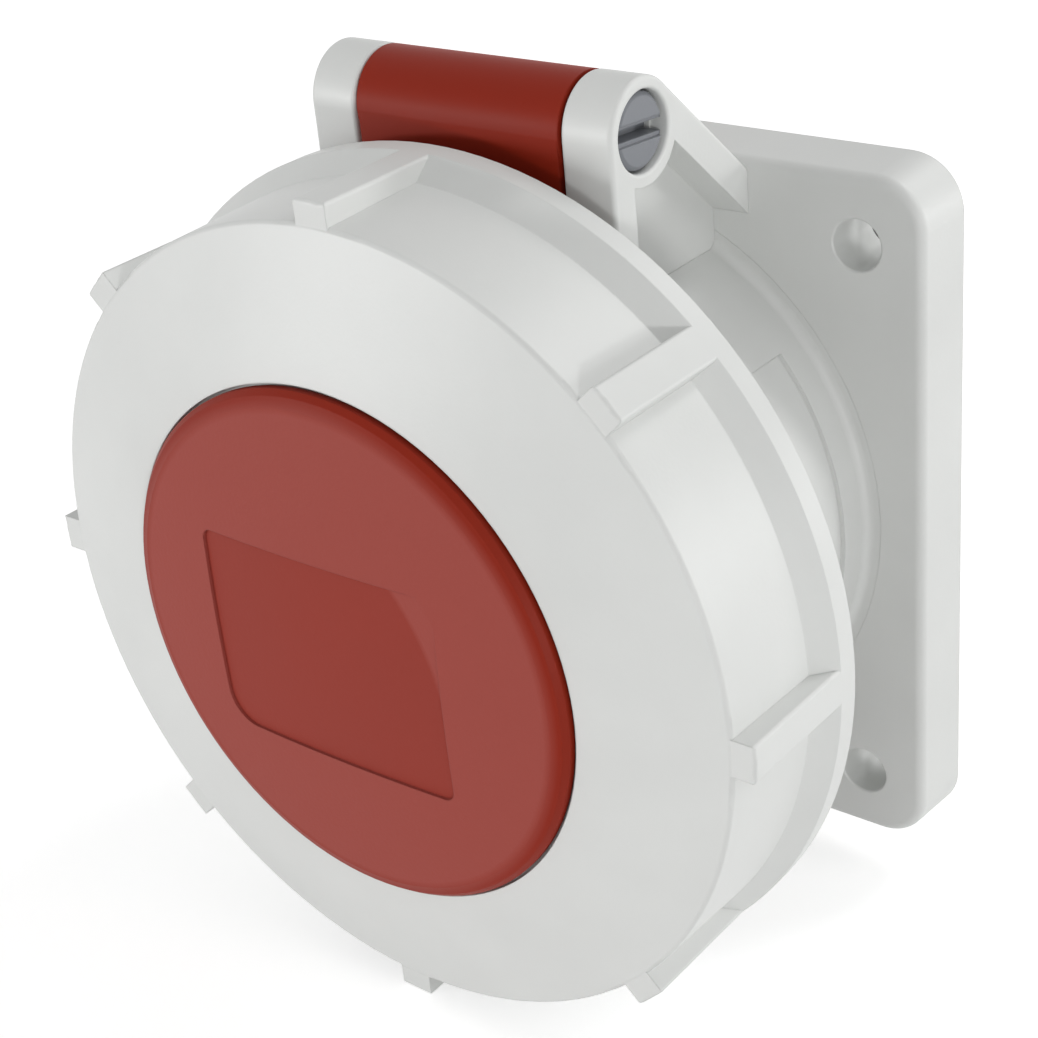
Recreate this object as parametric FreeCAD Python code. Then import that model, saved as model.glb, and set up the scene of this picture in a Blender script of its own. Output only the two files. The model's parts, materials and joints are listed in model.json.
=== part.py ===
"""Industrial panel socket with a hinged lid and a bayonet locking ring.

Each piece is drawn with X to the right, Y up and Z out of the panel, along the
socket's axis. The flange's back face is Z = 0. save() turns a piece into the
record's frame, where the front faces -Y and +Z is up. All sizes are in mm.
"""
import math
import os

import FreeCAD
import Part

# Clearances: moving pieces, the ring on its hub, pieces fixed in a seat, and rubber.
# LAP is how far the forms of one piece run into each other.
RUN_GAP = 0.3
RING_GAP = 0.35
SEAT_GAP = 0.1
RUBBER_GAP = 0.05
LAP = 1.0

# Flange
FLANGE = 75.0
FLANGE_T = 7.2
FLANGE_DRAFT = 0.45
FLANGE_CORNER_R = 5.5
FLANGE_EDGE_R = 1.0
HOLE_PITCH = 60.0
HOLE_R = 2.6
HOLE_BOSS_R = 5.2
HOLE_RIM = 0.3
FLANGE_WALL = 2.8
CORE_DEPTH = 4.4

# Rear skirt, which passes through the panel, and the gasket round it
LEDGE_W = 1.5
SKIRT_WALL = 2.3
SKIRT_DEPTH = 8.0
WINDOW_HALF_DEG = 11.0
WINDOW_DEG = (30, 150, 270)
GASKET_SPACE = 0.7
GASKET_W = 2.6
GASKET_T = 1.8

# Collar
BORE_R = 27.8
COLLAR_WALL = 2.85
COLLAR_FRONT = 42.0
COLLAR_BASE_STEP = 0.7
COLLAR_FOOT_R = 1.0
COLLAR_LIP_R = 0.5
BORE_FLARE = 1.3
LEDGE_Z = 3.0
KEYWAY_DEPTH = 1.3
KEYWAY_HALF_DEG = 8.0
KEYWAY_DEG = 270
PANEL_Z = (11.3, 25.0)
PANEL_DEPTH = 0.5
PANEL_HALF_DEG = 39.0
PANEL_DEG = (0, 180)
LUG_ROOM = 2.8
LUG_T = 3.0
LUG_SETBACK = 0.8
LUG_RAMP = 0.8
LUG_HALF_DEG = 14.0
LUG_DEG = (0, 180)

# Hinge brackets
EAR_X = 12.4
EAR_T = 5.65
WEB_T = 1.5
EYE_Y = 44.6
EYE_Z = 23.65
EYE_R = 5.09
EYE_HOLE_R = 3.85
EYE_HOLE_DEPTH = 2.0
EYE_RIM_R = 0.3
EAR_EDGE_R = 0.45
POST_T = 3.15
STRUT_T = 3.5
STRUT_DEG = 43.0

# Hinge pin and closing spring
PIN_R = 3.6
PIN_SMALL_R = 1.8
PIN_STEP_X = 8.0
PIN_INSET = 0.35
PIN_TIP_COVER = 2.0
PIN_TIP_ROOM = 0.2
PIN_CHAMFER = 0.4
PIN_SLOT = 1.2
PIN_SLOT_DEPTH = 2.2
PIN_SLOT_FLARE = 0.4
PIN_SLOT_DEG = 5.0
PIN_FIT = 0.06
SPRING_WIRE_R = 0.45
SPRING_ROOM = 17.0
SPRING_END_GAP = 0.8
SPRING_TURNS = 4
SPRING_SIDES = 6
TANG = 1.4

# Contact insert: front cup, towers, contact plate, terminal block and cover
CARRIER_FRONT = 38.0
CARRIER_CHAMFER = 1.0
CARRIER_WALL = 1.8
CARRIER_SEAL_T = 1.0
CENTRE_POST_R = 3.4
TOWER_WALL = 1.2
TOWER_ROOM = 1.25
CONTACT_PLATE_T = 5.0
BLOCK_R = 22.0
BLOCK_BACK = -25.0
HUB_POST_R = 9.5
BARRIER_T = 1.6
COVER_T = 2.5
COVER_CHAMFER = 0.8
RETAINER_T = 3.0
RETAINER_R_IN = 22.6
RETAINER_DIMPLE_R = 1.9
RETAINER_DIMPLE_DEPTH = 1.8
COVER_SCREW_R = 1.4
COVER_HEAD_R = 3.0
COVER_HEAD_H = 1.5
COVER_SCREW_GRIP = 8.0

# Contacts: the earth pole is wider, and lies next to the keyway
PITCH_R = 14.6
SLEEVE_FRONT = 35.3
POLES = {"pe": 270.0, "l1": 198.0, "l2": 126.0, "l3": 54.0, "n": -18.0}
PIN_BORE_R = 2.55
EARTH_BORE_R = 3.55
SLEEVE_WALL = 0.9
SLEEVE_SLOT = 0.8
SLEEVE_SLOT_DEPTH = 16.0
MOUTH_GAP = 0.25
TERMINAL = 8.5
TERMINAL_SHY = 3.0
TERMINAL_WALL = 4.0
SCREW_Z = -12.0
SCREW_R = 1.85
SCREW_HEAD_R = 2.6
SCREW_HEAD_H = 2.15
SCREW_SLOT = 0.8
SCREW_SLOT_DEPTH = 1.0
WIRE_R = 2.3
WIRE_ROOM = 0.3

# Locking ring
RING_RISE = 6.83
RING_R = 41.56
RING_WALL = 2.36
RING_TAPER = 0.31
RING_WALL_DEPTH = 12.0
RING_STEP_DEPTH = 14.27
RIM_DEPTH = 16.93
RIM_STEP = 1.93
RIM_WALL = 2.6
RIM_CHAMFER = 0.3
CONE_SLOPE = 0.2233
SEAT_RISE = 2.47
RING_LIP_T = 1.9
RING_SKIN = 2.2
LAND_R = (33.0, 35.0)
RIB_COUNT = 8
RIB_W = 3.8
RIB_EDGE_R = 0.35
BAYONET_CATCH = 1.8
BAYONET_GAP = 0.4
BAYONET_T = 3.0
BAYONET_HALF_DEG = 14.0
BAYONET_DEG = (45.0, 225.0)

# Lid
LID_R = 26.9
HUB_R = 25.3
LID_STAND = 1.0
LID_PLATE_T = 3.0
LID_PLATE_ROOM = 2.0
LID_EDGE_GAP = 0.4
LID_EDGE_T = 0.75
LID_SHOULDER_IN = 0.5
LID_SHOULDER_H = 0.55
LID_FACE_R = 25.4
LID_BEVEL_H = 0.43
DOME_RISE = 1.3
LID_SKIN = 2.83
LID_CAVITY_R = 23.4
LID_CAVITY_DRAFT = 0.6
LID_RIB_T = 1.6
LID_RIB_H = 4.0
LID_RIB_DEG = (30, 90, 150)
LABEL_X = (-15.3, 13.7)
LABEL_Y = (-11.55, 10.2)
LABEL_DEPTH = 0.3
LABEL_R = 1.2
LABEL_BIG_R = 3.4
LABEL_RAMP_X = 8.4
LABEL_RAMP_Y = -0.5
LABEL_RAMP_LOW = 0.1
SEAL_OVERHANG = 0.8
SEAL_GROOVE = 1.4
SEAL_BEAD_SLOPE = 0.9
SEAL_BASE = 0.3
ARM_ROOM = 1.0
ARM_T = 3.2
ARM_INSET = 0.15
ARM_BACK_Z = 25.0
BARREL_R = 5.05

# Sizes that follow from those above
COLLAR_R = BORE_R + COLLAR_WALL
TOWER_REACH = PITCH_R + EARTH_BORE_R + SLEEVE_WALL + SEAT_GAP + TOWER_WALL
CARRIER_R = TOWER_REACH + TOWER_ROOM + CARRIER_WALL
SKIRT_R_IN = BORE_R + LEDGE_W
SKIRT_R = SKIRT_R_IN + SKIRT_WALL
COLLAR_BASE_R = SKIRT_R + COLLAR_BASE_STEP
GASKET_R_IN = COLLAR_BASE_R + GASKET_SPACE
GASKET_R = GASKET_R_IN + GASKET_W
LUG_FRONT = COLLAR_FRONT - LUG_SETBACK
LUG_BACK = LUG_FRONT - LUG_T
EAR_OUT_X = EAR_X + EAR_T
BARREL_X = EAR_X - RUN_GAP
ARM_X = BARREL_X - ARM_INSET
PIN_END_X = EAR_OUT_X - PIN_INSET
PIN_TIP_X = PIN_TIP_COVER - EAR_OUT_X
SPRING_R = PIN_SMALL_R + RUN_GAP + SPRING_WIRE_R
SPRING_WALL_X = PIN_STEP_X - SPRING_ROOM
SPRING_X0 = SPRING_WALL_X + SPRING_END_GAP
SPRING_X1 = PIN_STEP_X - SPRING_END_GAP
SEAT_Z = LEDGE_Z - CARRIER_SEAL_T
CARRIER_FACE_BACK = SLEEVE_FRONT + SEAT_GAP
PLATE_BACK = SEAT_Z - CONTACT_PLATE_T
TERMINAL_FRONT = PLATE_BACK - SEAT_GAP
RETAINER_BACK = PLATE_BACK - RETAINER_T
TERMINAL_BACK = BLOCK_BACK + TERMINAL_SHY
COVER_BACK = BLOCK_BACK - COVER_T
RING_IN_R = RING_R - RING_WALL
RING_WALL_R = RING_R + RING_TAPER
RIM_R = RING_WALL_R + RIM_STEP
RING_FLARE_R = RIM_R - RIM_WALL
LUG_R = RING_IN_R - LUG_ROOM
RING_FRONT_Z = COLLAR_FRONT + RING_RISE
RING_WALL_Z = RING_FRONT_Z - RING_WALL_DEPTH
RING_STEP_Z = RING_FRONT_Z - RING_STEP_DEPTH
RIM_BACK_Z = RING_FRONT_Z - RIM_DEPTH
RING_SEAT_R = LID_R + RUN_GAP
RING_SEAT_Z = RING_FRONT_Z + SEAT_RISE
RING_BORE_R = HUB_R + RING_GAP
BAYONET_R_IN = LUG_R - BAYONET_CATCH
BAYONET_FRONT = LUG_BACK - BAYONET_GAP
BAYONET_BACK = BAYONET_FRONT - BAYONET_T
LID_PLATE_R = RING_IN_R - LID_PLATE_ROOM
LID_PLATE_BACK = COLLAR_FRONT + LID_STAND
LID_PLATE_FRONT = LID_PLATE_BACK + LID_PLATE_T
LID_EDGE_BACK = RING_SEAT_Z + LID_EDGE_GAP
LID_EDGE_FRONT = LID_EDGE_BACK + LID_EDGE_T
LID_SHOULDER_Z = LID_EDGE_FRONT + LID_SHOULDER_H
DOME_EDGE_Z = LID_SHOULDER_Z + LID_BEVEL_H
DOME_TOP_Z = DOME_EDGE_Z + DOME_RISE
LID_CAVITY_Z = DOME_TOP_Z - LID_SKIN
SEAL_R_IN = BORE_R - SEAL_OVERHANG
SEAL_R_OUT = COLLAR_R + SEAL_OVERHANG
ARM_R_OUT = RING_IN_R - ARM_ROOM
ARM_R_IN = ARM_R_OUT - ARM_T

ORIGIN = FreeCAD.Vector(0, 0, 0)
AXIS_X = FreeCAD.Vector(1, 0, 0)
AXIS_Z = FreeCAD.Vector(0, 0, 1)
OVERCUT = 1.0
NEAR = 0.01


def vec(x, y, z):
    return FreeCAD.Vector(x, y, z)


def save(name, shape):
    """Turn the piece into the record's frame and write its STEP file."""
    out = shape.removeSplitter()
    out.rotate(ORIGIN, AXIS_X, 90)
    out.exportStep("parts/" + name + ".step")
    print(name, len(out.Solids), round(out.Volume, 1), out.isValid())


def disc(r, z0, z1, x=0.0, y=0.0):
    return Part.makeCylinder(r, z1 - z0, vec(x, y, z0), AXIS_Z)


def tube(r_out, r_in, z0, z1):
    return disc(r_out, z0, z1).cut(disc(r_in, z0 - OVERCUT, z1 + OVERCUT))


def cone(r0, r1, z0, z1, x=0.0, y=0.0):
    return Part.makeCone(r0, r1, z1 - z0, vec(x, y, z0), AXIS_Z)


def rod_x(r, x0, x1, y, z):
    return Part.makeCylinder(r, x1 - x0, vec(x0, y, z), AXIS_X)


def block(x0, x1, y0, y1, z0, z1):
    return Part.makeBox(x1 - x0, y1 - y0, z1 - z0, vec(x0, y0, z0))


def wire(points):
    """Closed wire. A point with four numbers ends an arc: middle first, then end."""
    edges = []
    here = points[0][-2:]
    for item in points[1:] + [points[0][-2:]]:
        end = item[-2:]
        start_v = vec(here[0], 0, here[1])
        end_v = vec(end[0], 0, end[1])
        if len(item) == 4:
            edges.append(Part.Arc(start_v, vec(item[0], 0, item[1]), end_v).toShape())
        else:
            edges.append(Part.makeLine(start_v, end_v))
        here = end
    return Part.Wire(edges)


def lathe(points):
    """Solid of revolution about Z from (radius, z) points."""
    return Part.Face(wire(points)).revolve(ORIGIN, AXIS_Z, 360)


def sector(r_in, r_out, z0, z1, mid_deg, half_deg):
    """Part of a tube, half_deg to each side of mid_deg."""
    face = Part.Face(wire([(r_in, z0), (r_out, z0), (r_out, z1), (r_in, z1)]))
    face.rotate(ORIGIN, AXIS_Z, mid_deg - half_deg)
    return face.revolve(ORIGIN, AXIS_Z, 2 * half_deg)


def side_plate(points, x0, x1):
    """Plate between two X values, from (z, y) corners."""
    corners = [vec(x0, y, z) for z, y in points]
    face = Part.Face(Part.makePolygon(corners + corners[:1]))
    return face.extrude(vec(x1 - x0, 0, 0))


def turned(shape, deg):
    out = shape.copy()
    out.rotate(ORIGIN, AXIS_Z, deg)
    return out


def mirrored(shape):
    return shape.mirror(ORIGIN, AXIS_X)


def fuse_all(shapes):
    return shapes[0].multiFuse(shapes[1:])


def edges_where(shape, test):
    return [e for e in shape.Edges if test(e)]


def edges_at(shape, axis, value):
    """Edges whose corners all lie at one value of X, Y or Z."""
    return edges_where(shape, lambda e: all(abs(getattr(v, axis) - value) < NEAR for v in e.Vertexes))


def square_centres(pitch):
    return [(x, y) for x in (-pitch / 2, pitch / 2) for y in (-pitch / 2, pitch / 2)]


def drafted_square(side, corner_r, draft, z0, z1):
    """Square plate with round corners, smaller by the draft on each side at z1."""
    half = side / 2
    face = Part.Face(wire([(-half, z0), (half, z0), (half - draft, z1), (draft - half, z1)]))
    straight = side - 2 * corner_r
    face.translate(vec(0, -straight / 2, 0))
    slab = face.extrude(vec(0, straight, 0))
    corners = [cone(corner_r, corner_r - draft, z0, z1, x, y) for x, y in square_centres(straight)]
    return fuse_all([slab, turned(slab, 90)] + corners).removeSplitter()


def make_flange_form():
    """Outer form of the flange, with its soft front edge."""
    plate = drafted_square(FLANGE, FLANGE_CORNER_R, FLANGE_DRAFT, 0, FLANGE_T)
    return plate.makeFillet(FLANGE_EDGE_R, edges_at(plate, "Z", FLANGE_T))


def make_flange():
    inner = FLANGE - 2 * FLANGE_WALL
    core = drafted_square(inner, FLANGE_CORNER_R - FLANGE_WALL, FLANGE_DRAFT, -OVERCUT, CORE_DEPTH)
    cross = FLANGE / 4
    top = CORE_DEPTH + OVERCUT
    keep = [disc(GASKET_R + GASKET_T, -2 * OVERCUT, top)]
    keep.append(block(-FLANGE, FLANGE, -cross, cross, -2 * OVERCUT, top))
    keep.append(block(-cross, cross, -FLANGE, FLANGE, -2 * OVERCUT, top))
    keep += [disc(HOLE_BOSS_R, -2 * OVERCUT, top, x, y) for x, y in square_centres(HOLE_PITCH)]
    plate = make_flange_form().cut(core.cut(fuse_all(keep)))
    return plate.cut(tube(GASKET_R, GASKET_R_IN, -OVERCUT, GASKET_T))


def make_bracket():
    """Right hinge bracket: an eye on a post and a sloped strut, with a thin web between them."""
    eye = rod_x(EYE_R, EAR_X, EAR_OUT_X, EYE_Y, EYE_Z)
    foot_y = math.sqrt(BORE_R ** 2 - EAR_OUT_X ** 2)
    root_z = FLANGE_T - FLANGE_EDGE_R
    front = EYE_Z + EYE_R
    back = front - POST_T
    slope = math.tan(math.radians(STRUT_DEG))
    rise = math.hypot(1, slope)

    def strut_y(z, depth):
        """Height of a line that lies a depth below the strut's top face."""
        return EYE_Y + (z - EYE_Z) * slope + (EYE_R - depth) * rise

    top_z = EYE_Z - EYE_R * slope / rise
    outline = side_plate([(root_z, foot_y), (front, foot_y), (front, EYE_Y), (EYE_Z, EYE_Y),
                          (top_z, strut_y(top_z, 0)), (root_z, strut_y(root_z, 0))], EAR_X, EAR_OUT_X)
    form = eye.fuse(outline).removeSplitter()
    sides = edges_at(form, "X", EAR_X) + edges_at(form, "X", EAR_OUT_X)
    roots = edges_at(form, "Y", foot_y) + edges_at(form, "Z", root_z)
    form = form.makeFillet(EAR_EDGE_R, [e for e in sides if not any(e.isSame(r) for r in roots)])
    low = foot_y - OVERCUT
    far = root_z - OVERCUT
    corners = [(far, low), (back, low), (back, strut_y(back, STRUT_T)), (far, strut_y(far, STRUT_T))]
    window = side_plate(corners, EAR_X + WEB_T, EAR_OUT_X + OVERCUT)
    return form.cut(window.cut(rod_x(EYE_R, EAR_X, EAR_OUT_X + 2 * OVERCUT, EYE_Y, EYE_Z)))


def eye_distance(edge):
    """How far an edge's first corner lies from the hinge's axis."""
    return math.hypot(edge.Vertexes[0].Y - EYE_Y, edge.Vertexes[0].Z - EYE_Z)


def make_hinge_brackets():
    """Both brackets, seated on the flange and the collar, with their holes for the pin."""
    seat = make_flange_form().fuse(make_collar_form())
    right = make_bracket().cut(seat)
    left = mirrored(right)
    right = right.cut(rod_x(PIN_R, EAR_X - OVERCUT, EAR_OUT_X + OVERCUT, EYE_Y, EYE_Z))
    right = right.cut(rod_x(EYE_HOLE_R, EAR_OUT_X - EYE_HOLE_DEPTH, EAR_OUT_X + OVERCUT, EYE_Y, EYE_Z))
    rim = [e for e in edges_at(right, "X", EAR_OUT_X) if abs(eye_distance(e) - EYE_HOLE_R) < NEAR]
    right = right.makeFillet(EYE_RIM_R, rim)
    left = left.cut(rod_x(PIN_SMALL_R, PIN_TIP_X - PIN_TIP_ROOM, OVERCUT - EAR_X, EYE_Y, EYE_Z))
    return right, left


def make_collar_lug(mid_deg):
    """Bayonet lug on the collar. Its rear face is a ramp that draws the ring in."""
    lug = sector(COLLAR_R - COLLAR_WALL / 2, LUG_R, LUG_BACK, LUG_FRONT, 0, LUG_HALF_DEG)
    half_w = LUG_R * math.sin(math.radians(LUG_HALF_DEG)) + OVERCUT
    ramp_end = -half_w / 5
    below = LUG_BACK - OVERCUT
    corners = [(below, half_w), (LUG_BACK + LUG_RAMP, half_w), (LUG_BACK, ramp_end), (below, ramp_end)]
    ramp = side_plate(corners, COLLAR_R, LUG_R + OVERCUT)
    return turned(lug.cut(ramp), mid_deg)


def make_collar_form():
    """Outer form of the collar, with its base inside the flange and the round foot that it rises from."""
    foot = COLLAR_FOOT_R
    bend = foot * (1 - math.sqrt(0.5))
    return lathe([
        (0, 0), (COLLAR_BASE_R, 0), (COLLAR_BASE_R, FLANGE_T), (COLLAR_R + foot, FLANGE_T),
        (COLLAR_R + bend, FLANGE_T + bend, COLLAR_R, FLANGE_T + foot),
        (COLLAR_R, COLLAR_FRONT - COLLAR_LIP_R), (COLLAR_R - COLLAR_LIP_R, COLLAR_FRONT), (0, COLLAR_FRONT)])


def make_plug_space():
    """Room for the plug's shroud and its key, from the ledge to the collar's rim."""
    space = disc(BORE_R, LEDGE_Z - OVERCUT, COLLAR_FRONT + OVERCUT)
    flare = cone(BORE_R, BORE_R + BORE_FLARE, COLLAR_FRONT - BORE_FLARE, COLLAR_FRONT)
    keyway = sector(BORE_R - OVERCUT, BORE_R + KEYWAY_DEPTH, LEDGE_Z + OVERCUT, COLLAR_FRONT + OVERCUT,
                    KEYWAY_DEG, KEYWAY_HALF_DEG)
    return fuse_all([space, flare, keyway])


def make_collar():
    body = fuse_all([make_collar_form()] + [make_collar_lug(deg) for deg in LUG_DEG])
    for mid in PANEL_DEG:
        body = body.cut(sector(COLLAR_R - PANEL_DEPTH, COLLAR_R + PANEL_DEPTH, *PANEL_Z, mid, PANEL_HALF_DEG))
    return body.cut(make_plug_space()).cut(disc(SKIRT_R_IN, -OVERCUT, LEDGE_Z))


def make_housing():
    """Flange, open in the middle for the collar's base."""
    body = make_flange().cut(disc(COLLAR_BASE_R, -OVERCUT, FLANGE_T + OVERCUT))
    for x, y in square_centres(HOLE_PITCH):
        body = body.cut(disc(HOLE_R, -OVERCUT, FLANGE_T + OVERCUT, x, y))
        low = FLANGE_T - HOLE_RIM / 2
        body = body.cut(cone(HOLE_R, HOLE_R + HOLE_RIM, low, low + HOLE_RIM, x, y))
    return body


def make_rear_skirt():
    """Skirt behind the collar's base. The retaining ring's lugs snap into its windows."""
    body = tube(SKIRT_R, SKIRT_R_IN, -SKIRT_DEPTH, 0)
    for mid in WINDOW_DEG:
        body = body.cut(sector(SKIRT_R_IN - OVERCUT, SKIRT_R + OVERCUT, RETAINER_BACK, PLATE_BACK,
                               mid, WINDOW_HALF_DEG))
    return body


def make_carrier():
    """Front cup of the insert. Its face has a hole for each pin of the plug."""
    edge = CARRIER_R - CARRIER_CHAMFER
    body = lathe([(0, SEAT_Z), (CARRIER_R, SEAT_Z), (CARRIER_R, CARRIER_FRONT - CARRIER_CHAMFER),
                  (edge, CARRIER_FRONT), (0, CARRIER_FRONT)])
    body = body.cut(tube(CARRIER_R - CARRIER_WALL, CENTRE_POST_R, SEAT_Z - OVERCUT, CARRIER_FACE_BACK))
    body = body.cut(disc(COVER_SCREW_R, SEAT_Z - OVERCUT, SEAT_Z + COVER_SCREW_GRIP + OVERCUT))
    for pole, deg in POLES.items():
        hole = disc(pin_bore(pole) + MOUTH_GAP, CARRIER_FACE_BACK - OVERCUT, CARRIER_FRONT + OVERCUT, PITCH_R)
        body = body.cut(turned(hole, deg))
    return body


def make_contact_tower(pole):
    """Tube behind the insert's face that guides one contact sleeve."""
    room = sleeve_room(pole)
    body = disc(room + TOWER_WALL, SEAT_Z, CARRIER_FACE_BACK, PITCH_R)
    body = body.cut(disc(room, SEAT_Z - OVERCUT, CARRIER_FACE_BACK + OVERCUT, PITCH_R))
    return turned(body, POLES[pole])


def make_contact_plate():
    """Plate that the sleeves pass through. The retaining ring clamps its rim."""
    body = disc(SKIRT_R_IN - SEAT_GAP, PLATE_BACK, SEAT_Z)
    body = body.cut(disc(COVER_SCREW_R + SEAT_GAP, PLATE_BACK - OVERCUT, SEAT_Z + OVERCUT))
    for pole, deg in POLES.items():
        body = body.cut(turned(disc(sleeve_room(pole), PLATE_BACK - OVERCUT, SEAT_Z + OVERCUT, PITCH_R), deg))
    return body


def make_terminal_block():
    """Rear hub with a barrier between each two terminals, which are open to the side."""
    hub = disc(HUB_POST_R, BLOCK_BACK, PLATE_BACK)
    half = BARRIER_T / 2
    barriers = []
    angles = sorted(deg % 360 for deg in POLES.values())
    for first, second in zip(angles, angles[1:] + [angles[0] + 360]):
        barrier = block(HUB_POST_R - LAP, BLOCK_R, -half, half, BLOCK_BACK, PLATE_BACK)
        barriers.append(turned(barrier, (first + second) / 2))
    body = fuse_all([hub] + barriers)
    return body.cut(disc(COVER_SCREW_R + SEAT_GAP, BLOCK_BACK - OVERCUT, PLATE_BACK + OVERCUT))


def make_contact(pole):
    """Slotted sleeve with its terminal block, in one piece of brass."""
    bore = pin_bore(pole)
    outer = bore + SLEEVE_WALL
    half = TERMINAL / 2
    body = disc(outer, TERMINAL_FRONT - OVERCUT, SLEEVE_FRONT, PITCH_R)
    body = body.fuse(block(PITCH_R - half, PITCH_R + half, -half, half, TERMINAL_BACK, TERMINAL_FRONT))
    body = body.cut(disc(bore, 0, SLEEVE_FRONT + OVERCUT, PITCH_R))
    reach = outer + OVERCUT
    slot_half = SLEEVE_SLOT / 2
    slot_z = (SLEEVE_FRONT - SLEEVE_SLOT_DEPTH, SLEEVE_FRONT + OVERCUT)
    body = body.cut(block(PITCH_R - reach, PITCH_R + reach, -slot_half, slot_half, *slot_z))
    body = body.cut(block(PITCH_R - slot_half, PITCH_R + slot_half, -reach, reach, *slot_z))
    body = body.cut(disc(WIRE_R, TERMINAL_BACK - OVERCUT, TERMINAL_FRONT - TERMINAL_WALL, PITCH_R))
    body = body.cut(rod_x(SCREW_R, PITCH_R, PITCH_R + half + OVERCUT, 0, SCREW_Z))
    return turned(body, POLES[pole])


def make_terminal_screw(pole):
    under_head = PITCH_R + TERMINAL / 2 + RUBBER_GAP
    top = under_head + SCREW_HEAD_H
    body = rod_x(SCREW_R, PITCH_R + WIRE_R / 3, top, 0, SCREW_Z)
    body = body.fuse(rod_x(SCREW_HEAD_R, under_head, top, 0, SCREW_Z))
    half = SCREW_SLOT / 2
    reach = SCREW_HEAD_R + OVERCUT
    slot = block(top - SCREW_SLOT_DEPTH, top + OVERCUT, -half, half, SCREW_Z - reach, SCREW_Z + reach)
    return turned(body.cut(slot), POLES[pole])


def make_terminal_cover():
    body = disc(BLOCK_R, COVER_BACK, BLOCK_BACK)
    body = body.makeChamfer(COVER_CHAMFER, edges_at(body, "Z", COVER_BACK))
    for deg in POLES.values():
        way = disc(WIRE_R + WIRE_ROOM, COVER_BACK - OVERCUT, BLOCK_BACK + OVERCUT, PITCH_R)
        body = body.cut(turned(way, deg))
    shank = COVER_SCREW_R + SEAT_GAP
    body = body.cut(disc(shank, COVER_BACK - OVERCUT, BLOCK_BACK + OVERCUT))
    return body.cut(cone(COVER_HEAD_R + SEAT_GAP, shank, COVER_BACK, COVER_BACK + COVER_HEAD_H))


def make_cover_screw():
    """Long screw that holds the cover and the terminal block to the front insert."""
    head_end = COVER_BACK + COVER_HEAD_H
    body = cone(COVER_HEAD_R, COVER_SCREW_R, COVER_BACK, head_end)
    body = body.fuse(disc(COVER_SCREW_R, COVER_BACK + SCREW_SLOT, SEAT_Z + COVER_SCREW_GRIP))
    half = SCREW_SLOT / 2
    reach = COVER_HEAD_R + OVERCUT
    return body.cut(block(-half, half, -reach, reach, COVER_BACK - OVERCUT, COVER_BACK + SCREW_SLOT))


def make_retaining_ring():
    body = tube(SKIRT_R_IN - 2 * SEAT_GAP, RETAINER_R_IN, RETAINER_BACK, PLATE_BACK)
    low = RETAINER_BACK + RUN_GAP
    high = PLATE_BACK - RUN_GAP
    lugs = [sector(SKIRT_R_IN - LAP, SKIRT_R - RUN_GAP, low, high, mid, WINDOW_HALF_DEG - 1)
            for mid in WINDOW_DEG]
    body = fuse_all([body] + lugs)
    middle = (SKIRT_R_IN + RETAINER_R_IN) / 2
    floor = RETAINER_BACK + RETAINER_DIMPLE_DEPTH
    dimple = disc(RETAINER_DIMPLE_R, RETAINER_BACK - OVERCUT, floor, middle)
    for deg in range(0, 360, 60):
        body = body.cut(turned(dimple, deg))
    return body


def make_lid():
    groove_z = LID_PLATE_BACK + SEAL_GROOVE
    body = lathe([
        (0, LID_CAVITY_Z), (LID_CAVITY_R - LID_CAVITY_DRAFT, LID_CAVITY_Z), (LID_CAVITY_R, LID_PLATE_BACK),
        (SEAL_R_IN, LID_PLATE_BACK), (SEAL_R_IN, groove_z),
        (SEAL_R_OUT, groove_z), (SEAL_R_OUT, LID_PLATE_BACK),
        (LID_PLATE_R, LID_PLATE_BACK), (LID_PLATE_R, LID_PLATE_FRONT), (HUB_R, LID_PLATE_FRONT),
        (HUB_R, LID_EDGE_BACK), (LID_R, LID_EDGE_BACK), (LID_R, LID_EDGE_FRONT),
        (LID_R - LID_SHOULDER_IN, LID_SHOULDER_Z), (LID_FACE_R, DOME_EDGE_Z), (0, DOME_EDGE_Z)])
    body = body.fuse(make_dome(0).common(disc(LID_FACE_R, DOME_EDGE_Z - LID_BEVEL_H, DOME_TOP_Z + OVERCUT)))
    reach = LID_CAVITY_R + LID_CAVITY_DRAFT
    half = LID_RIB_T / 2
    rib = block(-reach, reach, -half, half, LID_CAVITY_Z - LID_RIB_H, LID_CAVITY_Z + LID_SKIN / 4)
    body = fuse_all([body] + [turned(rib, deg) for deg in LID_RIB_DEG] + make_arm())
    body = body.cut(make_label_tool())
    body = body.cut(rod_x(PIN_R + PIN_FIT, SPRING_WALL_X, BARREL_X + OVERCUT, EYE_Y, EYE_Z))
    body = body.cut(rod_x(PIN_SMALL_R + PIN_FIT, -BARREL_X - OVERCUT, SPRING_WALL_X + OVERCUT, EYE_Y, EYE_Z))
    return body.cut(rod_x(SPRING_WIRE_R + SEAT_GAP, SPRING_X0 - TANG - RUN_GAP, SPRING_WALL_X + OVERCUT,
                          EYE_Y, EYE_Z + SPRING_R))


def make_arm():
    """Curved arm that runs back inside the ring to the barrel between the eyes."""
    half_deg = math.degrees(math.asin(ARM_X / ARM_R_IN)) + 2
    shell = sector(ARM_R_IN, ARM_R_OUT, ARM_BACK_Z, LID_PLATE_FRONT - LID_PLATE_T / 2, 90, half_deg)
    shell = shell.common(block(-ARM_X, ARM_X, 0, ARM_R_OUT + OVERCUT, ARM_BACK_Z - OVERCUT, LID_PLATE_FRONT))
    drop = block(-ARM_X, ARM_X, ARM_R_IN + SEAL_GROOVE, EYE_Y, ARM_BACK_Z, EYE_Z + BARREL_R)
    barrel = rod_x(BARREL_R, -BARREL_X, BARREL_X, EYE_Y, EYE_Z)
    return [shell, drop, barrel]


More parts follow.
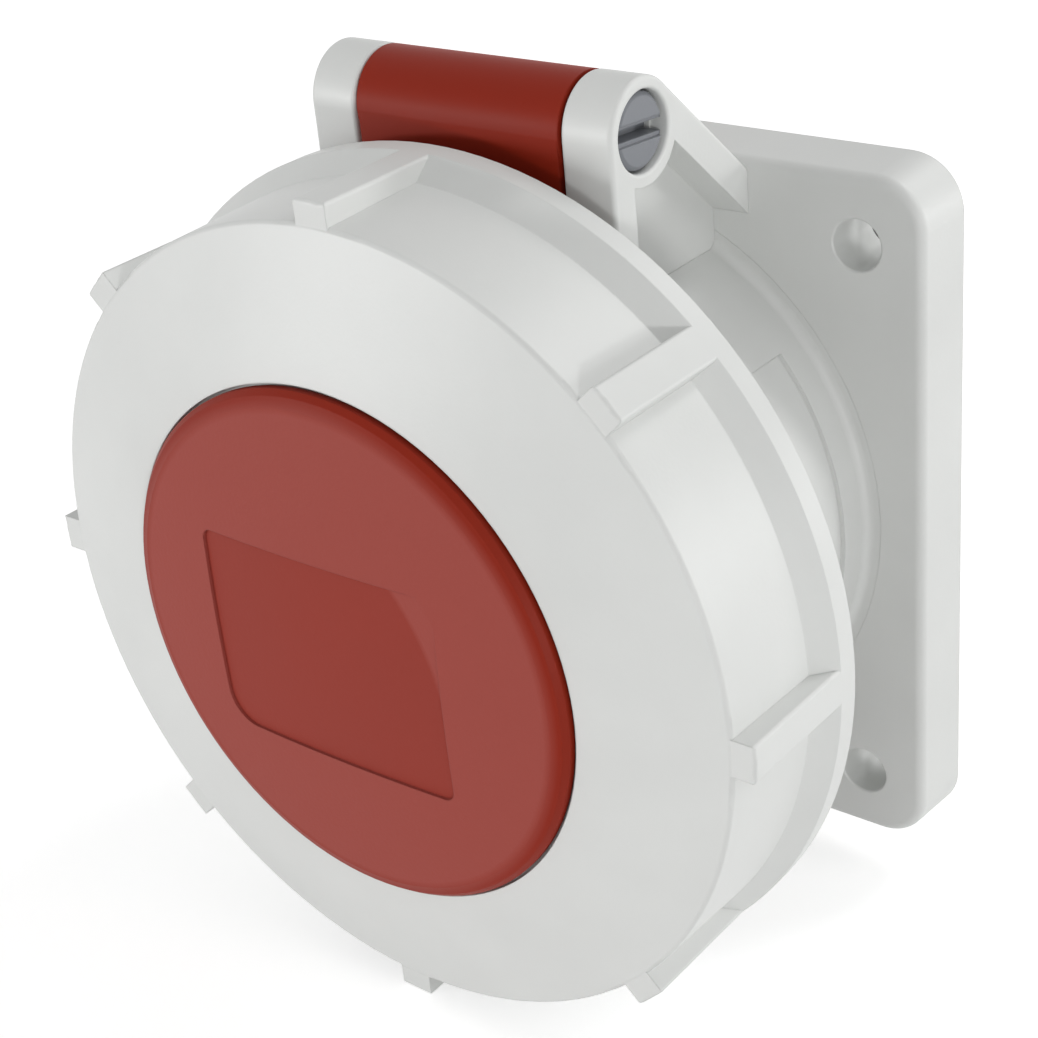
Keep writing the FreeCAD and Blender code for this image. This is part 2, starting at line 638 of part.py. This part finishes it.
def make_dome(depth):
    """Large ball whose top is the lid's domed face, or lies a depth below it."""
    radius = (LID_FACE_R ** 2 + DOME_RISE ** 2) / (2 * DOME_RISE)
    return Part.makeSphere(radius - depth, vec(0, 0, DOME_TOP_Z - radius), AXIS_X)


def make_label_tool():
    """Shallow label field that follows the domed face and runs out in one corner."""
    x0, x1 = LABEL_X
    y0, y1 = LABEL_Y
    tool = block(x0, x1, y0, y1, LID_CAVITY_Z, DOME_TOP_Z + OVERCUT)
    upright = edges_where(tool, lambda e: abs(e.Vertexes[0].Z - e.Vertexes[-1].Z) > 0.1)
    small = [e for e in upright if e.Vertexes[0].X > x0 + NEAR or e.Vertexes[0].Y > y0 + NEAR]
    tool = tool.makeFillet(LABEL_R, small)
    big = edges_where(tool, lambda e: math.hypot(e.CenterOfMass.x - x0, e.CenterOfMass.y - y0) < NEAR)
    tool = tool.makeFillet(LABEL_BIG_R, big)
    return tool.cut(make_dome(LABEL_DEPTH)).cut(make_label_ramp())


def make_label_ramp():
    """Wedge left standing in the field's upper right corner."""
    x1 = LABEL_X[1]
    y1 = LABEL_Y[1]
    base = LID_CAVITY_Z
    out = LABEL_DEPTH + OVERCUT
    corners = [vec(LABEL_RAMP_X, y1, base), vec(LABEL_RAMP_X, y1 + out, base), vec(x1 + out, y1 + out, base),
               vec(x1 + out, LABEL_RAMP_Y, base), vec(x1, LABEL_RAMP_Y, base)]
    prism = Part.Face(Part.makePolygon(corners + corners[:1])).extrude(vec(0, 0, DOME_TOP_Z + OVERCUT - base))
    face_z = DOME_TOP_Z - DOME_RISE * (LABEL_RAMP_X ** 2 + y1 ** 2) / LID_FACE_R ** 2
    floor_z = face_z - LABEL_DEPTH
    run_x = x1 - LABEL_RAMP_X
    run_y = y1 - LABEL_RAMP_Y
    length = math.hypot(run_x, run_y)
    across = vec(run_y / length, run_x / length, 0)
    rise = (LABEL_DEPTH - LABEL_RAMP_LOW) * length / (run_x * run_y)
    plane = Part.Plane(vec(LABEL_RAMP_X, y1, floor_z), vec(-across.x * rise, -across.y * rise, 1))
    size = 2 * LID_R
    return prism.cut(plane.toShape(-size, size, -size, size).extrude(vec(0, 0, LID_SKIN * 3)))


def make_lid_seal():
    """Rubber ring with a raised bead that meets the collar's rim."""
    top = LID_PLATE_BACK + SEAL_GROOVE
    base = LID_PLATE_BACK - SEAL_BASE
    face = COLLAR_FRONT + RUBBER_GAP
    r_in = SEAL_R_IN + RUBBER_GAP
    r_out = SEAL_R_OUT - RUBBER_GAP
    return lathe([(r_in, top), (r_in, base), (r_in + SEAL_BEAD_SLOPE, face),
                  (r_out - SEAL_BEAD_SLOPE, face), (r_out, base), (r_out, top)])


def pin_bore(pole):
    return EARTH_BORE_R if pole == "pe" else PIN_BORE_R


def sleeve_room(pole):
    return pin_bore(pole) + SLEEVE_WALL + SEAT_GAP


def cone_z(r):
    """Height of the ring's conical front at a radius."""
    return RING_FRONT_Z + (RING_R - r) * CONE_SLOPE


def make_ring_body():
    skin_z = cone_z(RING_IN_R) - RING_SKIN
    lip_z = RING_SEAT_Z - RING_LIP_T
    soft = RIB_EDGE_R
    bend = soft * (1 - math.sqrt(0.5))
    return lathe([
        (RING_BORE_R, lip_z), (RING_BORE_R, RING_SEAT_Z), (RING_SEAT_R, RING_SEAT_Z),
        (RING_SEAT_R, cone_z(RING_SEAT_R)), (RING_R - soft, cone_z(RING_R - soft)),
        (RING_R - bend, RING_FRONT_Z - bend, RING_R, RING_FRONT_Z - soft),
        (RING_WALL_R, RING_WALL_Z), (RIM_R, RING_STEP_Z),
        (RIM_R, RIM_BACK_Z + RIM_CHAMFER), (RIM_R - RIM_CHAMFER, RIM_BACK_Z), (RING_FLARE_R, RIM_BACK_Z),
        (RING_FLARE_R, BAYONET_BACK - BAYONET_GAP), (RING_IN_R, BAYONET_FRONT - BAYONET_GAP),
        (RING_IN_R, skin_z)])


def make_rib():
    """Grip rib, flush with the rim and with the ring's front."""
    half = RIB_W / 2
    rib = block(-half, half, RING_R - LAP, RIM_R + OVERCUT, RING_STEP_Z, RING_FRONT_Z)
    rib = rib.common(disc(RIM_R, RIM_BACK_Z, RING_FRONT_Z))
    outer = edges_where(rib, lambda e: min(math.hypot(v.X, v.Y) for v in e.Vertexes) > RIM_R - RIB_EDGE_R)
    keep = [e for e in outer if max(v.Z for v in e.Vertexes) > RING_FRONT_Z - RIB_EDGE_R]
    return rib.makeFillet(RIB_EDGE_R, keep)


def make_locking_ring():
    rib = make_rib()
    ribs = [turned(rib, i * 360.0 / RIB_COUNT) for i in range(RIB_COUNT)]
    lugs = [sector(BAYONET_R_IN, RING_R, BAYONET_BACK, BAYONET_FRONT, deg, BAYONET_HALF_DEG)
            for deg in BAYONET_DEG]
    land_z = LID_PLATE_FRONT + RING_GAP
    land = tube(LAND_R[1], LAND_R[0], land_z, cone_z(LAND_R[1]) - RING_SKIN / 2)
    return fuse_all([make_ring_body()] + ribs + lugs + [land])


def make_hinge_pin():
    """Stepped pin. Its end is slotted and sits back from the bracket's face."""
    body = rod_x(PIN_R, PIN_STEP_X, PIN_END_X, EYE_Y, EYE_Z)
    body = body.makeChamfer(PIN_CHAMFER, edges_at(body, "X", PIN_END_X))
    body = body.fuse(rod_x(PIN_SMALL_R, PIN_TIP_X, PIN_STEP_X + OVERCUT, EYE_Y, EYE_Z))
    half = PIN_SLOT / 2
    wide = half + PIN_SLOT_FLARE
    long = PIN_R + OVERCUT
    slot = block(PIN_END_X - PIN_SLOT_DEPTH, PIN_END_X + OVERCUT, -half, half, -long, long)
    slot = slot.fuse(block(PIN_END_X - PIN_CHAMFER, PIN_END_X + OVERCUT, -wide, wide, -long, long))
    slot.rotate(ORIGIN, AXIS_X, -PIN_SLOT_DEG)
    slot.translate(vec(0, EYE_Y, EYE_Z))
    body = body.cut(slot)
    return body.cut(rod_x(SPRING_WIRE_R + SEAT_GAP, PIN_STEP_X - OVERCUT, SPRING_X1 + TANG + RUN_GAP,
                          EYE_Y, EYE_Z + SPRING_R))


def make_hinge_spring():
    """Torsion spring on the pin's thin part, with a straight tang at each end."""
    length = SPRING_X1 - SPRING_X0
    helix = Part.makeHelix(length / SPRING_TURNS, length, SPRING_R)
    start = helix.Edges[0].tangentAt(helix.Edges[0].FirstParameter)
    circle = Part.Circle(vec(SPRING_R, 0, 0), start, SPRING_WIRE_R)
    corners = [circle.value(2 * math.pi * i / SPRING_SIDES) for i in range(SPRING_SIDES)]
    section = Part.makePolygon(corners + corners[:1])
    coil = Part.Wire(helix.Edges).makePipeShell([section], True, True)
    tang_a = disc(SPRING_WIRE_R, -TANG, SPRING_WIRE_R, SPRING_R)
    tang_b = disc(SPRING_WIRE_R, length - SPRING_WIRE_R, length + TANG, SPRING_R)
    body = coil.fuse(tang_a).fuse(tang_b)
    body.rotate(ORIGIN, vec(0, 1, 0), 90)
    body.rotate(ORIGIN, AXIS_X, 180)
    body.translate(vec(SPRING_X0, EYE_Y, EYE_Z))
    return body


def main():
    os.makedirs("parts", exist_ok=True)
    save("housing", make_housing())
    save("rear_skirt", make_rear_skirt())
    save("collar", make_collar())
    right, left = make_hinge_brackets()
    save("hinge_bracket_right", right)
    save("hinge_bracket_left", left)
    save("flange_gasket", tube(GASKET_R - RUBBER_GAP, GASKET_R_IN + RUBBER_GAP, 0, GASKET_T))
    save("carrier", make_carrier())
    save("contact_plate", make_contact_plate())
    save("terminal_block", make_terminal_block())
    save("carrier_seal", tube(SKIRT_R_IN - SEAT_GAP, BORE_R + SEAT_GAP, SEAT_Z, LEDGE_Z))
    save("retaining_ring", make_retaining_ring())
    for pole in POLES:
        save("contact_tower_" + pole, make_contact_tower(pole))
        save("contact_" + pole, make_contact(pole))
        save("terminal_screw_" + pole, make_terminal_screw(pole))
    save("terminal_cover", make_terminal_cover())
    save("cover_screw", make_cover_screw())
    save("lid", make_lid())
    save("lid_seal", make_lid_seal())
    save("locking_ring", make_locking_ring())
    save("hinge_pin", make_hinge_pin())
    save("hinge_spring", make_hinge_spring())


main()
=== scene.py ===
"""Looks of the panel socket: materials, light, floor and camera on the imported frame."""
import json
import math

import bpy
from mathutils import Matrix, Vector


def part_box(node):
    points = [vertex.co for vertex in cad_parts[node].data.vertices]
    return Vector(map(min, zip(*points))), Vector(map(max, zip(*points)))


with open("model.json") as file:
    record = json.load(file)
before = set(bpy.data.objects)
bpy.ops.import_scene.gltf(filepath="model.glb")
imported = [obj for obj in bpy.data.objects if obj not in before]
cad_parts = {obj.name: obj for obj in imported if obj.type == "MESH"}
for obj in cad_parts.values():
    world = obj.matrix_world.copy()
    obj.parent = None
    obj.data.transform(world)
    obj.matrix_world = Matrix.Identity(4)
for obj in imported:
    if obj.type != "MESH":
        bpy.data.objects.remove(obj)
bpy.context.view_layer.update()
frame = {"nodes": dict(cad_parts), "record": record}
scene = bpy.context.scene
scene.view_settings.view_transform = "Standard"

# Camera, fitted to the photograph. Lengths are in metres, angles in degrees.
CAMERA_AT = (0.125967, -0.172160, 0.102397)
CAMERA_YAW = 40.5546
CAMERA_PITCH = 27.5403
CAMERA_ROLL = -5.6417
FOCAL_PX = 2111.25
FRAME_PX = 1038.0
SENSOR_MM = 36.0

# Plastic: the scale of its cloudy patches, the radius of its soft edges, the depth of the lid's grain,
# and how far the roughness drifts to each side. Metal: how its marks are drawn out, and its drift.
CLOUD_SCALE = 60.0
EDGE_R = 0.0002
EDGE_SAMPLES = 4
GRAIN_DEPTH = 0.00003
ROUGHNESS_SPREAD = 0.05
METAL_STRETCH = 14.0
METAL_SPREAD = 0.08

# The lid's domed face as in the CAD, with its label field, which cuts off the dome's top: the
# field's depth, and how near its edge comes to the axis. Then the lid's two reds: a smooth red, and a
# matt red with a painted sheen, a whiter tone that stands in for the haze of light off the grained face.
# Then how much of the dome's grain and painted sheen the field's floor has, how far they fade to each
# side of the dome's edge and above the field's floor, how much rougher the grain makes the plastic,
# and the grain's strength elsewhere.
LID_FACE_R = 0.0254
DOME_RISE = 0.0013
LABEL_DEPTH = 0.0003
LABEL_NEAREST = 0.0102
RED = (0.252, 0.019, 0.007)
# Matt red with a painted sheen: a whiter tone that stands in for the haze of light off the grained face.
RED_MATT_PAINTED_SHEEN = (0.326, 0.066, 0.052)
# The share of the dome's grain and of its painted sheen that the label field's floor keeps.
LABEL_GRAIN_AND_SHEEN = 0.45
FACE_BLEND = 0.0007
FIELD_BLEND = 0.00006
FACE_ROUGHER = 0.08
SMOOTH_GRAIN = 0.15

# The floor lies under the ring's lowest rib.
FLOOR_Z = -0.0438
FLOOR_SIZE = 8.0
FLOOR_LIFT = 0.55

# Soft lamps round the object: the way to each, its size in metres and its power in watts
AMBIENT = 0.45
LAMP_AIM = Vector((0, -0.02, 0))
LAMP_DISTANCE = 0.9
LAMPS = {
    "back_top": ((0.3, 0.6, 0.8), 0.35, 1.9),
    "right_top": ((0.75, 0.1, 0.65), 0.35, 0.65),
    "right_back": ((0.8, 0.6, 0.12), 0.2, 1.5),
    "low_right": ((0.7, -0.6, -0.02), 0.1, 2.15),
    "left_low": ((-0.6, -0.8, 0.08), 0.15, 2.54),
}


def make_camera():
    yaw = math.radians(CAMERA_YAW)
    pitch = math.radians(CAMERA_PITCH)
    roll = math.radians(CAMERA_ROLL)
    back = Vector((math.sin(yaw) * math.cos(pitch), -math.cos(yaw) * math.cos(pitch), math.sin(pitch)))
    right = Vector((math.cos(yaw), math.sin(yaw), 0.0))
    up = back.cross(right)
    x_axis = math.cos(roll) * right + math.sin(roll) * up
    y_axis = -math.sin(roll) * right + math.cos(roll) * up
    data = bpy.data.cameras.new("camera")
    data.sensor_width = SENSOR_MM
    data.sensor_fit = "HORIZONTAL"
    data.lens = FOCAL_PX / FRAME_PX * SENSOR_MM
    data.clip_start = 0.01
    data.clip_end = 20.0
    cam = bpy.data.objects.new("camera", data)
    scene.collection.objects.link(cam)
    turn = Matrix((x_axis, y_axis, back)).transposed().to_4x4()
    cam.matrix_world = Matrix.Translation(Vector(CAMERA_AT)) @ turn
    scene.camera = cam
    return cam


def node(tree, kind, **values):
    made = tree.nodes.new(kind)
    for key, value in values.items():
        setattr(made, key, value)
    return made


def new_material(name):
    mat = bpy.data.materials.new(name)
    mat.use_nodes = True
    tree = mat.node_tree
    shader = tree.nodes["Principled BSDF"]
    return mat, tree, shader


def two_tones(tree, factor, colour, tint):
    """Colour that drifts a little to each side of the one given."""
    ramp = node(tree, "ShaderNodeValToRGB")
    low, high = ramp.color_ramp.elements
    low.color = [c * (1 - tint) for c in colour] + [1]
    high.color = [min(1.0, c * (1 + tint)) for c in colour] + [1]
    low.position = 0.3
    high.position = 0.7
    tree.links.new(factor, ramp.inputs["Fac"])
    return ramp.outputs["Color"]


def plastic(name, colour, roughness, grain_scale, grain_depth, tint=0.03, specular=0.4):
    """Moulded plastic: a slightly uneven colour, a fine grain, and edges that the mould leaves soft."""
    mat, tree, shader = new_material(name)
    coords = node(tree, "ShaderNodeTexCoord")
    cloud = node(tree, "ShaderNodeTexNoise")
    cloud.inputs["Scale"].default_value = CLOUD_SCALE
    cloud.inputs["Detail"].default_value = 3.0
    grain = node(tree, "ShaderNodeTexNoise")
    grain.inputs["Scale"].default_value = grain_scale
    grain.inputs["Detail"].default_value = 2.0
    edges = node(tree, "ShaderNodeBevel", samples=EDGE_SAMPLES)
    edges.inputs["Radius"].default_value = EDGE_R
    bump = node(tree, "ShaderNodeBump", name="grain_bump")
    bump.inputs["Distance"].default_value = grain_depth
    rough = node(tree, "ShaderNodeMapRange", name="roughness")
    rough.inputs["To Min"].default_value = roughness - ROUGHNESS_SPREAD
    rough.inputs["To Max"].default_value = roughness + ROUGHNESS_SPREAD
    link = tree.links.new
    link(coords.outputs["Object"], cloud.inputs["Vector"])
    link(coords.outputs["Object"], grain.inputs["Vector"])
    link(two_tones(tree, cloud.outputs["Fac"], colour, tint), shader.inputs["Base Color"])
    link(edges.outputs["Normal"], bump.inputs["Normal"])
    link(grain.outputs["Fac"], bump.inputs["Height"])
    link(bump.outputs["Normal"], shader.inputs["Normal"])
    link(cloud.outputs["Fac"], rough.inputs["Value"])
    link(rough.outputs["Result"], shader.inputs["Roughness"])
    shader.inputs["Specular IOR Level"].default_value = specular
    return mat


def fade(tree, value, full, none, rest=0.0):
    """1 where the value is below full, the rest where it is above none."""
    ramp = node(tree, "ShaderNodeMapRange")
    ramp.inputs["From Min"].default_value = full
    ramp.inputs["From Max"].default_value = none
    ramp.inputs["To Min"].default_value = 1.0
    ramp.inputs["To Max"].default_value = rest
    tree.links.new(value, ramp.inputs["Value"])
    return ramp.outputs["Result"]


def on_lid_face(tree):
    """1 on the lid's domed face and its label field's ramp, less on the field's floor, 0 elsewhere."""
    ball_r = (LID_FACE_R ** 2 + DOME_RISE ** 2) / (2 * DOME_RISE)
    top_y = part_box("lid")[0].y - LABEL_NEAREST ** 2 / (2 * ball_r)
    coords = node(tree, "ShaderNodeTexCoord")
    reach = node(tree, "ShaderNodeVectorMath", operation="DISTANCE")
    reach.inputs[1].default_value = (0, top_y + ball_r, 0)
    depth = node(tree, "ShaderNodeMath", operation="SUBTRACT")
    depth.inputs[0].default_value = ball_r
    flat = node(tree, "ShaderNodeVectorMath", operation="MULTIPLY")
    flat.inputs[1].default_value = (1, 0, 1)
    radius = node(tree, "ShaderNodeVectorMath", operation="LENGTH")
    both = node(tree, "ShaderNodeMath", operation="MULTIPLY")
    link = tree.links.new
    link(coords.outputs["Object"], reach.inputs[0])
    link(reach.outputs["Value"], depth.inputs[1])
    link(coords.outputs["Object"], flat.inputs[0])
    link(flat.outputs["Vector"], radius.inputs[0])
    # The field's floor keeps only part of the grain and of the painted sheen.
    above_floor = fade(tree, depth.outputs["Value"], LABEL_DEPTH - FIELD_BLEND, LABEL_DEPTH, LABEL_GRAIN_AND_SHEEN)
    on_face = fade(tree, radius.outputs["Value"], LID_FACE_R - FACE_BLEND, LID_FACE_R + FACE_BLEND)
    link(above_floor, both.inputs[0])
    link(on_face, both.inputs[1])
    return both.outputs["Value"]


def lid_plastic():
    """Red plastic: polished all over, but with a matt grain on the lid's domed face, where a painted
    sheen lightens the colour.
    """
    mat = plastic("plastic_red", RED, 0.48, 2200.0, GRAIN_DEPTH, tint=0.03, specular=0.12)
    tree = mat.node_tree
    shader = tree.nodes["Principled BSDF"]
    face = on_lid_face(tree)
    smooth = shader.inputs["Base Color"].links[0].from_socket
    mix = node(tree, "ShaderNodeMix", data_type="RGBA")
    # The grained face's matt red, with its painted sheen.
    mix.inputs[7].default_value = list(RED_MATT_PAINTED_SHEEN) + [1]
    more = node(tree, "ShaderNodeMath", operation="MULTIPLY_ADD")
    more.inputs[1].default_value = FACE_ROUGHER
    strength = node(tree, "ShaderNodeMapRange")
    strength.inputs["To Min"].default_value = SMOOTH_GRAIN
    strength.inputs["To Max"].default_value = 1.0
    link = tree.links.new
    link(face, mix.inputs[0])
    link(smooth, mix.inputs[6])
    link(mix.outputs[2], shader.inputs["Base Color"])
    link(face, more.inputs[0])
    link(tree.nodes["roughness"].outputs["Result"], more.inputs[2])
    link(more.outputs["Value"], shader.inputs["Roughness"])
    link(face, strength.inputs["Value"])
    link(strength.outputs["Result"], tree.nodes["grain_bump"].inputs["Strength"])
    return mat


def metal(name, colour, roughness, scratch_scale, scratch_depth):
    """Turned or rolled metal with fine marks."""
    mat, tree, shader = new_material(name)
    coords = node(tree, "ShaderNodeTexCoord")
    stretch = node(tree, "ShaderNodeMapping")
    stretch.inputs["Scale"].default_value = (1.0, METAL_STRETCH, 1.0)
    marks = node(tree, "ShaderNodeTexNoise")
    marks.inputs["Scale"].default_value = scratch_scale
    marks.inputs["Detail"].default_value = 4.0
    bump = node(tree, "ShaderNodeBump")
    bump.inputs["Distance"].default_value = scratch_depth
    rough = node(tree, "ShaderNodeMapRange")
    rough.inputs["To Min"].default_value = roughness - METAL_SPREAD
    rough.inputs["To Max"].default_value = roughness + METAL_SPREAD
    link = tree.links.new
    link(coords.outputs["Object"], stretch.inputs["Vector"])
    link(stretch.outputs["Vector"], marks.inputs["Vector"])
    link(marks.outputs["Fac"], bump.inputs["Height"])
    link(marks.outputs["Fac"], rough.inputs["Value"])
    link(bump.outputs["Normal"], shader.inputs["Normal"])
    link(rough.outputs["Result"], shader.inputs["Roughness"])
    shader.inputs["Base Color"].default_value = list(colour) + [1]
    shader.inputs["Metallic"].default_value = 1.0
    return mat


def make_floor():
    """Pale floor. It is white to the camera where no shadow falls on it."""
    bpy.ops.mesh.primitive_plane_add(size=FLOOR_SIZE, location=(0, 0, FLOOR_Z))
    floor = bpy.context.object
    floor.name = "floor"
    mat, tree, shader = new_material("floor_pale")
    shader.inputs["Base Color"].default_value = (0.84, 0.84, 0.84, 1)
    shader.inputs["Roughness"].default_value = 0.9
    shader.inputs["Specular IOR Level"].default_value = 0.1
    lift = node(tree, "ShaderNodeEmission")
    lift.inputs["Strength"].default_value = FLOOR_LIFT
    seen = seen_directly(tree)
    add = node(tree, "ShaderNodeAddShader")
    mix = node(tree, "ShaderNodeMixShader")
    out = tree.nodes["Material Output"]
    link = tree.links.new
    link(shader.outputs["BSDF"], add.inputs[0])
    link(lift.outputs["Emission"], add.inputs[1])
    link(seen, mix.inputs["Fac"])
    link(shader.outputs["BSDF"], mix.inputs[1])
    link(add.outputs["Shader"], mix.inputs[2])
    link(mix.outputs["Shader"], out.inputs["Surface"])
    floor.data.materials.append(mat)


def seen_directly(tree):
    """1 for rays from the camera, mirror rays and rays through glass, else 0."""
    path = node(tree, "ShaderNodeLightPath")
    first = node(tree, "ShaderNodeMath", operation="MAXIMUM")
    second = node(tree, "ShaderNodeMath", operation="MAXIMUM")
    tree.links.new(path.outputs["Is Camera Ray"], first.inputs[0])
    tree.links.new(path.outputs["Is Glossy Ray"], first.inputs[1])
    tree.links.new(first.outputs["Value"], second.inputs[0])
    tree.links.new(path.outputs["Is Transmission Ray"], second.inputs[1])
    return second.outputs["Value"]


def area_light(name, at, aim, size, power, colour=(1, 1, 1)):
    data = bpy.data.lights.new(name, "AREA")
    data.shape = "DISK"
    data.size = size
    data.energy = power
    data.color = colour
    lamp = bpy.data.objects.new(name, data)
    lamp.location = at
    lamp.rotation_euler = (Vector(aim) - Vector(at)).to_track_quat("-Z", "Y").to_euler()
    scene.collection.objects.link(lamp)


def make_lamps():
    for name, (way, size, power) in LAMPS.items():
        at = LAMP_AIM + LAMP_DISTANCE * Vector(way).normalized()
        area_light(name, at, LAMP_AIM, size, power)


def make_world():
    """Soft ambient light. What sees the backdrop directly sees white."""
    world = bpy.data.worlds.new("studio")
    scene.world = world
    world.use_nodes = True
    tree = world.node_tree
    ambient = tree.nodes["Background"]
    ambient.inputs["Color"].default_value = (1, 1, 1, 1)
    ambient.inputs["Strength"].default_value = AMBIENT
    white = node(tree, "ShaderNodeBackground")
    white.inputs["Color"].default_value = (1, 1, 1, 1)
    mix = node(tree, "ShaderNodeMixShader")
    link = tree.links.new
    link(seen_directly(tree), mix.inputs["Fac"])
    link(ambient.outputs["Background"], mix.inputs[1])
    link(white.outputs["Background"], mix.inputs[2])
    link(mix.outputs["Shader"], tree.nodes["World Output"].inputs["Surface"])


MATERIALS = {
    "housing": plastic("plastic_light_grey", (0.70, 0.71, 0.695), 0.42, 2600.0, 0.000010),
    "lid": lid_plastic(),
    "pin": plastic("plastic_dark_grey", (0.21, 0.22, 0.24), 0.4, 2600.0, 0.00001),
    "carrier": plastic("plastic_black", (0.03, 0.03, 0.033), 0.45, 2600.0, 0.00001),
    "rubber": plastic("rubber_black", (0.02, 0.02, 0.02), 0.65, 1800.0, 0.00002),
    "brass": metal("brass", (0.78, 0.60, 0.32), 0.3, 700.0, 0.00001),
    "steel": metal("zinc_steel", (0.62, 0.62, 0.64), 0.3, 900.0, 0.00001),
}

for part in frame["record"]["subparts"]:
    piece = frame["nodes"][part["node"]]
    for slot in piece.material_slots:
        slot.material = MATERIALS[part["material_slot"]]

make_camera()
make_floor()
make_world()
make_lamps()
